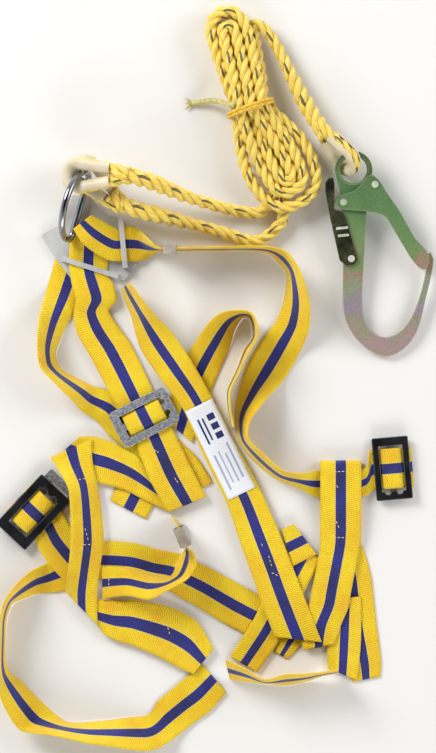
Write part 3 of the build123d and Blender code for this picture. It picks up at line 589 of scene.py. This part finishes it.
webbingRuns = {
    "leftShoulderWebbing": ("left_shoulder_strap", leftShoulderStrap),
    "centreWebbing": ("centre_strap", centreStrapTop + throughBuckle(*chestBuckle) + centreStrapEnd),
    "rightShoulderWebbing": ("right_shoulder_strap",
                             rightShoulderTop + throughBuckle(*rightBuckle, way=-1)),
    "labelWebbing": ("label_strap", labelStrap),
    "chestLoopWebbing": ("chest_loop_strap", chestLoopStrap),
    "waistWebbing": ("waist_strap", waistStrap),
    "leftSideWebbing": ("left_side_strap", leftSideStrap),
    "seatWebbing": ("seat_strap", seatStrap),
    "leftBuckleWebbing": ("left_buckle_strap", throughBuckle(*leftBuckle) + buckleStrapEnd),
    "legLoopWebbing": ("leg_loop_strap", legLoopStrap),
    "keeperWebbing": ("keeper_strap", keeperStrap),
    "seatEndWebbing": ("seat_end_strap", seatEndStrap),
    "crossWebbing": ("cross_strap", crossStrap),
    "sideLoopWebbing": ("side_loop_strap", sideLoopStrap),
    "rightLegWebbing": ("right_leg_strap", rightLegStrap),
    "rightLegTailWebbing": ("right_leg_tail", rightLegTail),
    "waistTabWebbing": ("waist_tab", waistTab),
    "centreTabWebbing": ("centre_tab", centreTab),
    "seatTabWebbing": ("seat_tab", seatTab),
}
runs, webbingPieces = {}, []
for name, (node, rows) in webbingRuns.items():
    piece, runs[name] = webbingPiece(name, node, rows)
    webbingPieces.append(piece)
print("webbing laid:", {name: round(run[-1][2], 3) for name, run in runs.items()})

# Rows of pale sewing thread, each stitch lying on whatever webbing is uppermost there. The rows are
# drawn on a level above the whole harness and drop from it. All in millimetres.
stitchBuild = dict(length=3.2, pitch=4.6, radius=0.45, dropFrom=90, sitsUp=0.1)
stitchRows = [((86, 298), (95, 299)), ((91, 227), (101, 227)), ((94, 246), (98, 231)),
              ((366, 306), (379, 307)), ((366, 234), (379, 234)), ((369, 253), (373, 244)),
              ((366, 297), (372, 288)), ((120, 190), (120, 176)), ((183, 141), (187, 127)),
              ((196, 137), (217, 119)), ((287, 229), (289, 223)), ((295, 215), (299, 202)),
              ((298, 196), (306, 192)), ((169, 331), (175, 327)), ((192, 300), (196, 294))]


def sewStitches():
    build = stitchBuild
    shape = Matrix.Diagonal((build["radius"] / 1000, build["radius"] / 1000, build["length"] / 2000, 1))
    clothTrees = [BVHTree.FromPolygons([v.co for v in cloth.data.vertices],
                                       [list(face.vertices) for face in cloth.data.polygons])
                  for cloth in webbingPieces]
    bm = bmesh.new()
    for (startX, startY), (endX, endY) in stitchRows:
        start, end = place(startX, startY, build["dropFrom"]), place(endX, endY, build["dropFrom"])
        count = max(1, round((end - start).length * 1000 / build["pitch"]))
        ahead = (end - start).normalized()
        for k in range(count):
            spot = start.lerp(end, (k + 0.5) / count)
            levels = [tree.ray_cast(spot, Vector((0, 0, -1)))[0] for tree in clothTrees]
            levels = [hit.z for hit in levels if hit]
            if not levels:
                continue
            spot.z = max(levels) + build["sitsUp"] / 1000
            turned = ahead.to_track_quat("Z", "Y").to_matrix().to_4x4()
            bmesh.ops.create_uvsphere(bm, u_segments=8, v_segments=6, radius=1,
                                      matrix=Matrix.Translation(spot) @ turned @ shape)
    return finishPiece("sewingStitches", bm, paleThread, "harness")


sewStitches()
print("stitches sewn")

# Metres. A strand's centre, its own radius and the floor of the groove are shares of the rope's radius.
ropeBuild = dict(diameter=0.014, lay=0.040, step=0.0026, pointsPerStrand=7, strandCentre=0.536,
                 strandRadius=0.464, grooveFloor=0.70)


def guidePoints(points):
    # a smooth line through the given points, read back as close points
    curve = bpy.data.curves.new("ropeGuide", "CURVE")
    curve.dimensions = "3D"
    curve.resolution_u = 12
    spline = curve.splines.new("NURBS")
    spline.points.add(len(points) - 1)
    for target, point in zip(spline.points, points):
        target.co = (*point, 1)
    spline.order_u = 3
    spline.use_endpoint_u = True
    guide = bpy.data.objects.new("ropeGuide", curve)
    mesh = bpy.data.meshes.new_from_object(guide)
    close = [vertex.co.copy() for vertex in mesh.vertices]
    bpy.data.objects.remove(guide)
    bpy.data.curves.remove(curve)
    bpy.data.meshes.remove(mesh)
    return close


def evenSteps(points, step):
    even, need = [points[0].copy()], step
    for a, b in zip(points, points[1:]):
        gap = (b - a).length
        while need <= gap:
            even.append(a.lerp(b, need / gap))
            need += step
        need -= gap
    return even


def strandRadius(turn):
    # the outline of three round strands lying together, with the grooves a little filled
    centre, radius = ropeBuild["strandCentre"], ropeBuild["strandRadius"]
    swing = abs((turn * 3) % 1 - 0.5) * math.tau / 3
    reach = centre * math.cos(swing) + math.sqrt(max(radius**2 - (centre * math.sin(swing)) ** 2, 0))
    return max(reach, ropeBuild["grooveFloor"])


def ropeRings(line, radiusAt):
    count = ropeBuild["pointsPerStrand"] * 3
    side = Vector((0.3, 0.2, 1.0))
    rings, along, travelled = [], [], 0.0
    for i, point in enumerate(line):
        ahead = (line[min(i + 1, len(line) - 1)] - line[max(i - 1, 0)]).normalized()
        side = (side - ahead * side.dot(ahead)).normalized()
        other = ahead.cross(side)
        if i:
            travelled += (point - line[i - 1]).length
        twist = math.tau * travelled / ropeBuild["lay"]
        reach = radiusAt(i, travelled)
        ring = []
        for k in range(count):
            turn = k / count
            angle = turn * math.tau + twist
            outward = side * math.cos(angle) + other * math.sin(angle)
            ring.append(point + outward * reach * strandRadius(turn))
        rings.append(ring)
        along.append(travelled)
    return rings, along, [3 * k / count for k in range(count + 1)]


def ropePiece(name, points, nodes, radiusAt, smoothed=True):
    line = evenSteps(guidePoints(points) if smoothed else points, ropeBuild["step"])
    rings, along, around = ropeRings(line, radiusAt)
    piece = finishPiece(name, skinRings(rings, along, around), ropeFibre, "harness", nodes)
    return piece, line, along[-1]


# The leads run from the ring to the hank and from the hank to the hook.
upperLead = [(125, 629.6, 56.6), (145, 629, 60.4), (168, 622, 52), (190, 613, 39), (212, 605, 27),
             (240, 597, 17), (266, 591, 11), (294, 589, 9)]
lowerLead = [(122.3, 608.1, 33.8), (139, 596, 37.5), (166, 589, 33), (196, 582, 24), (227, 574, 14),
             (256, 566, 8.5), (275, 559, 8), (289, 561, 8), (303, 572, 8.4), (315, 587, 9)]
hookLead = [(281, 800, 15), (296, 787, 12), (308, 766, 12), (319, 742, 13), (332, 716, 15),
            (346, 692, 19), (359.6, 672.6, 23.8)]

# The hank: passes of rope up and down one axis, nipped at the tie. A spot on the axis is x, y and its
# heading; each pass then has its own offset to the right and height above the floor at every spot.
hankSpots = dict(upper=(252, 786, -77), neck=(269, 730, -75), waist=(275, 705, -72),
                 swell=(286, 682, -67), belly=(303, 650, -62), bottom=(313, 631, -62))
hankPasses = {
    1: dict(upper=(26, 12), neck=(20, 14), waist=(14, 22), swell=(26, 21), belly=(37, 18)),
    2: dict(upper=(-20, 24), neck=(-18, 23), waist=(-14, 22), swell=(-26, 21), belly=(-37, 18)),
    3: dict(upper=(20, 25), neck=(15, 31), waist=(12, 36), swell=(17, 30), belly=(21, 23)),
    4: dict(upper=(-7, 27), neck=(-10, 33), waist=(-12, 36), swell=(-16, 30), belly=(-20, 23)),
    5: dict(upper=(7, 27), neck=(3, 34), waist=(0, 39), swell=(5, 32), belly=(8, 25)),
    6: dict(upper=(-20, 10), neck=(-8, 16), waist=(0, 24), swell=(-4, 25), belly=(-7, 25)),
    7: dict(upper=(20, 10), neck=(14, 9), waist=(12, 8.5), swell=(14, 8.5), belly=(15, 9)),
    8: dict(upper=(-7, 9), neck=(-12, 8.5), waist=(-12, 8.5), swell=(-14, 8.5), belly=(-15, 9)),
    9: dict(upper=(7, 9), neck=(1, 9), waist=(0, 8.5), swell=(0, 8.5), belly=(0, 9)),
}
# A bend reaches past its spot by a share of half the gap between its two passes.
hankBends = dict(angles=(30, 65, 115, 150), bottomReach=1.0, topReach=-1.35)


def hankPoint(spot, right, height, past=0.0):
    x, y, heading = hankSpots[spot]
    turn = math.radians(heading)
    return (x - right * math.sin(turn) + past * math.cos(turn),
            y + right * math.cos(turn) + past * math.sin(turn), height)


def passPoints(number, down=True):
    spots = ["upper", "neck", "waist", "swell", "belly"]
    line = [hankPoint(spot, *hankPasses[number][spot]) for spot in spots]
    return line if down else line[::-1]


def hankBend(spot, first, second, reach):
    # a half turn from one pass to another, beyond the spot
    (a, high), (b, low) = first, second
    middle, half = (a + b) / 2, (b - a) / 2
    points = []
    for angle in hankBends["angles"]:
        swing = math.radians(angle)
        points.append(hankPoint(spot, middle - half * math.cos(swing), high + (low - high) * angle / 180,
                                past=reach * abs(half) * math.sin(swing)))
    return points


def bottomBend(first, second):
    return hankBend("bottom", hankPasses[first]["belly"], hankPasses[second]["belly"],
                    hankBends["bottomReach"])


def topBend(first, second):
    return hankBend("upper", hankPasses[first]["upper"], hankPasses[second]["upper"],
                    hankBends["topReach"])


firstLeg = upperLead + passPoints(7, False)
for last in (7, 5, 3):
    firstLeg += topBend(last, last - 1) + passPoints(last - 1)
    firstLeg += bottomBend(last - 1, last - 2) + passPoints(last - 2, False)
firstLeg += hookLead
secondLeg = lowerLead + passPoints(9, False) + topBend(9, 8) + passPoints(8)
splice = dict(reach=0.10, extra=0.0028)
ropeRadius = ropeBuild["diameter"] / 2


def ropeLength(points):
    line = guidePoints(points)
    return sum((b - a).length for a, b in zip(line, line[1:]))


def splicedAt(*ends):
    # the tucks of an eye splice make the rope thicker for a hand's width from the eye
    def radiusAt(_, travelled):
        near = max((1 - abs(travelled - end) / splice["reach"] for end in ends), default=0)
        return ropeRadius + splice["extra"] * min(max(near, 0) * 2, 1)
    return radiusAt


firstPoints = [place(*point) for point in firstLeg]
secondPoints = [place(*point) for point in secondLeg]
firstRope, firstLine, firstLength = ropePiece(
    "firstRopeLeg", firstPoints, ["upper_lead_rope", "hook_lead_rope", "rope_hank"],
    splicedAt(0, ropeLength(firstPoints)))
secondRope, secondLine, secondLength = ropePiece(
    "secondRopeLeg", secondPoints, ["lower_lead_rope"], splicedAt(0))
print("rope laid:", round(firstLength, 3), round(secondLength, 3))


# An eye lies round its thimble: an arc about the centre, and two legs that meet at the throat and are
# tucked into the lead. Tucks are how far past the throat, and how far off the middle, in millimetres.
eyeBuild = dict(ropeRadius=0.0064, throatHalf=7.9, tucks=((22, 2.5), (10, 5.2)), arcSteps=24)


def eyeLine(centre, xDir, yDir, radius, reach):
    build = eyeBuild
    throat = (reach, build["throatHalf"])
    lean = math.atan2(throat[1], throat[0]) + math.acos(radius / math.hypot(*throat))
    xAxis, yAxis = Vector(xDir).normalized(), Vector(yDir)
    yAxis = (yAxis - xAxis * yAxis.dot(xAxis)).normalized()
    tuck = [(reach + past, half) for past, half in build["tucks"]] + [throat]
    flat = list(tuck)
    for k in range(build["arcSteps"] + 1):
        angle = lean + k * (math.tau - 2 * lean) / build["arcSteps"]
        flat.append((radius * math.cos(angle), radius * math.sin(angle)))
    flat += [(x, -y) for x, y in reversed(tuck)]
    return [centre + (xAxis * x + yAxis * y) / 1000 for x, y in flat]


# Centre, the way to the throat, the way across, the arc's radius and the distance to the throat.
eyes = {
    "upper": (place(88, 629.6, 43.2), (0.94, 0, 0.34), (0, 1, 0), 14, 38),
    "lower": (place(94.9, 634.3, 24), (0.70, -0.67, 0.25), (0.69, 0.72, 0), 14, 38),
    "hook": (place(377.4, 650.3, 24), (-0.625, 0.78, 0), (0.39, 0.3125, 0.866), 15.5, 27),
}
eyePieces = {}
for name, eye in eyes.items():
    eyePieces[name], _, _ = ropePiece(name + "EyeRope", eyeLine(*eye), [name + "_rope_eye"],
                                      lambda _, travelled: eyeBuild["ropeRadius"], smoothed=False)

# The cord tied twice round the hank, with its worn end. Millimetres, and the hank's heading there.
tieBuild = dict(centre=(275.6, 703.5, 25.5), heading=-72, halfWidth=25.4, halfHeight=23, cord=1.9,
                turns=2, turnSteps=24, pitch=3.4)
tailBuild = dict(route=((258, 706, 40), (250, 708, 34), (238, 713, 16), (226, 714, 6), (212, 711, 3)),
                 radius=0.003, yarns=7, yarnSpread=0.22, yarnRadius=0.0008)


def tiePoints():
    build, steps = tieBuild, tieBuild["turnSteps"]
    turn = math.radians(build["heading"])
    along = Vector((math.cos(turn), math.sin(turn), 0))
    right = Vector((-math.sin(turn), math.cos(turn), 0))
    points = []
    for k in range(build["turns"] * steps + 1):
        angle = k * math.tau / steps
        drift = (k / steps - build["turns"] / 2) * build["pitch"]
        offset = (along * drift + right * build["halfWidth"] * math.cos(angle)
                  + Vector((0, 0, 1)) * build["halfHeight"] * math.sin(angle))
        points.append(place(*build["centre"]) + offset / 1000)
    return points


def tubePiece(name, points, radius, material, nodes=(), sides=8):
    rings, along, travelled = [], [], 0.0
    side = Vector((0.2, 0.3, 1.0))
    for i, point in enumerate(points):
        ahead = (points[min(i + 1, len(points) - 1)] - points[max(i - 1, 0)]).normalized()
        side = (side - ahead * side.dot(ahead)).normalized()
        other = ahead.cross(side)
        travelled += (point - points[max(i - 1, 0)]).length
        angles = [k * math.tau / sides for k in range(sides)]
        rings.append([point + (side * math.cos(angle) + other * math.sin(angle)) * radius
                      for angle in angles])
        along.append(travelled)
    bm = skinRings(rings, along, [k / sides for k in range(sides + 1)])
    return finishPiece(name, bm, material, "harness", nodes)


hankTie = tubePiece("hankTie", tiePoints(), tieBuild["cord"] / 1000, tieCord, ["hank_tie"])
tailPoints = guidePoints([place(*point) for point in tailBuild["route"]])
tieTail = tubePiece("tieTail", tailPoints, tailBuild["radius"], tailCord)
for k in range(tailBuild["yarns"]):
    # the yarns fan out from the end of the cord
    swing = (k - tailBuild["yarns"] // 2) * tailBuild["yarnSpread"]
    ends = [place(215, 711.5, 3), place(209 - 2 * (k % 2), 711 + 5 * swing, 3),
            place(204 + 2 * (k % 3), 710.5 + 9 * swing, 2.4)]
    tubePiece("frayedYarn" + str(k), guidePoints(ends), tailBuild["yarnRadius"], tailCord,
                            sides=5)
print("eyes and tie made")

# The sewn label lies on the label strap; toTop is the way its top points.
labelBuild = dict(centre=(242.5, 331), toTop=(-0.44, 0.90), length=108, width=33, level=9.5,
                  thickness=0.5, ripple=0.15, alongSteps=36, acrossPoints=9)


def labelPiece():
    build = labelBuild
    down = -Vector((*build["toTop"], 0)).normalized()
    right = Vector((-down.y, down.x, 0))
    middle = place(*build["centre"], build["level"])
    run = []
    for i in range(build["alongSteps"] + 1):
        share = i / build["alongSteps"]
        spot = middle + down * ((share - 0.5) * build["length"] / 1000)
        run.append((spot - right * build["width"] / 2000, spot + right * build["width"] / 2000,
                    share * build["length"] / 1000))
    rings, shares = webbingRings(run, build["thickness"], build["acrossPoints"], build["ripple"])
    across = [share * build["width"] / 2000 for share in shares + shares[::-1]]
    bm = skinRings(rings, [station[2] for station in run], across + across[:1])
    return finishPiece("sewnLabel", bm, labelCloth, "harness", ["label_patch"])


labelPiece()

# Two bright ribs pressed across the lock lever, above its pivot. The hook lies in a plane that rises
# towards its eye, and each rib is its middle in that plane and its length.
leverRibBuild = dict(eye=(388, 637, 24), rise=5.8, level=5.6, turn=6, width=2.8, height=1.4, bevel=0.6,
                     ribs=((-12.6, -63.5, 13), (-11.0, -71.5, 12)))


def leverRibs():
    build = leverRibBuild
    rise = math.radians(build["rise"])
    x0, y0, z0 = build["eye"]
    bm = bmesh.new()
    for x, y, length in build["ribs"]:
        spot = place(x0 + x, y0 + y * math.cos(rise) - build["level"] * math.sin(rise),
                     z0 + y * math.sin(rise) + build["level"] * math.cos(rise))
        turned = Matrix.Rotation(rise, 4, "X") @ Matrix.Rotation(math.radians(build["turn"]), 4, "Z")
        shape = Matrix.Diagonal((length / 1000, build["width"] / 1000, build["height"] / 1000, 1))
        made = bmesh.ops.create_cube(bm, size=1, matrix=Matrix.Translation(spot) @ turned @ shape)
        edges = list({edge for vertex in made["verts"] for edge in vertex.link_edges})
        bmesh.ops.bevel(bm, geom=edges, offset=build["bevel"] / 1000, affect="EDGES", segments=3,
                        profile=0.5, material=-1)
    return finishPiece("leverRibs", bm, rivetZinc, "lever")


leverRibs()

# What each moulded or metal part is finished in.
nodeFinishes = {
    "dorsal_plate": padPlastic, "d_ring": ringChrome, "upper_thimble": creamNylon,
    "lower_thimble": creamNylon, "hook_thimble": creamNylon, "chest_buckle_frame": zincPlate,
    "chest_buckle_bar": zincPlate, "left_buckle_plate": zincPlate, "left_buckle_frame": blackEnamel,
    "right_buckle_frame": blackEnamel, "left_buckle_bar": barSteel, "right_buckle_bar": barSteel,
    "shoulder_keeper": keeperVinyl, "thigh_keeper": keeperVinyl, "hook_frame": hookZinc,
    "hook_gate": hookZinc, "gate_rivet": rivetZinc, "gate_stop_rivet": rivetZinc,
    "lever_rivet": rivetZinc, "lock_lever": leverZinc, "gate_spring": barSteel,
    "lever_spring": barSteel,
}
for nodeName, material in nodeFinishes.items():
    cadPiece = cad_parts[nodeName]
    cadPiece.data.materials.clear()
    cadPiece.data.materials.append(material)
print("finishes set")

# A pale floor under soft side light, seen from straight above. Centre is what the camera looks down
# on, in millimetres; tall is the height of its view and away is its distance, in metres.
studio = dict(floor="#E9E6E1", floorSize=6, floorLevel=-0.0004, centre=(239.8, 410.9), tall=0.8283,
              away=4.0, sensor=36, skyStrength=0.85)
studioLights = dict(keyLight=dict(spot=(-1.7, 1.7, 1.6), size=(1.2, 1.2), power=66),
                    fillLight=dict(spot=(2.3, 0.9, 1.5), size=(1.6, 1.6), power=34, tint="#F6F8FF"),
                    lowLight=dict(spot=(0.5, -2.3, 1.2), size=(1.8, 1.0), power=26))


def studioFloor():
    bm = bmesh.new()
    bmesh.ops.create_grid(bm, x_segments=1, y_segments=1, size=studio["floorSize"])
    mesh = bpy.data.meshes.new("studioFloor")
    bm.to_mesh(mesh)
    bm.free()
    floor = bpy.data.objects.new("studioFloor", mesh)
    floor.location.z = studio["floorLevel"]
    bpy.context.scene.collection.objects.link(floor)
    material, _, shader = newMaterial("paleFloor", **{"Roughness": 0.8})
    shader.inputs["Base Color"].default_value = colour(studio["floor"])
    mesh.materials.append(material)


def softLight(name, spot, size, power, tint="#FFFFFF"):
    light = bpy.data.lights.new(name, "AREA")
    light.shape = "RECTANGLE"
    light.size, light.size_y = size
    light.energy = power
    light.color = colour(tint)[:3]
    lamp = bpy.data.objects.new(name, light)
    lamp.location = spot
    lamp.rotation_euler = (-Vector(spot)).to_track_quat("-Z", "Y").to_euler()
    bpy.context.scene.collection.objects.link(lamp)


studioFloor()
for name, light in studioLights.items():
    softLight(name, **light)
# the sky is dark at the zenith, so flat metal that faces up stays grey
world = bpy.data.worlds.new("studioWorld")
world.use_nodes = True
sky = world.node_tree
direction = addNode(sky, "ShaderNodeTexCoord")
skySplit = addNode(sky, "ShaderNodeSeparateXYZ", {0: direction.outputs["Generated"]})
skyShade = addNode(sky, "ShaderNodeValToRGB", {0: skySplit.outputs[2]},
                   [(0.0, colour("#FFFFFF")), (0.6, colour("#E6E8EC")),
                    (0.92, colour("#2E3136"))])
sky.links.new(skyShade.outputs[0], sky.nodes["Background"].inputs[0])
sky.nodes["Background"].inputs[1].default_value = studio["skyStrength"]
bpy.context.scene.world = world
bpy.context.scene.view_settings.view_transform = "Standard"

cameraData = bpy.data.cameras.new("camera")
cameraData.sensor_fit = "VERTICAL"
cameraData.sensor_height = studio["sensor"]
cameraData.lens = studio["sensor"] * studio["away"] / studio["tall"]
camera = bpy.data.objects.new("camera", cameraData)
camera.location = place(*studio["centre"], 1000 * studio["away"])
bpy.context.scene.collection.objects.link(camera)
bpy.context.scene.camera = camera
print("studio set")
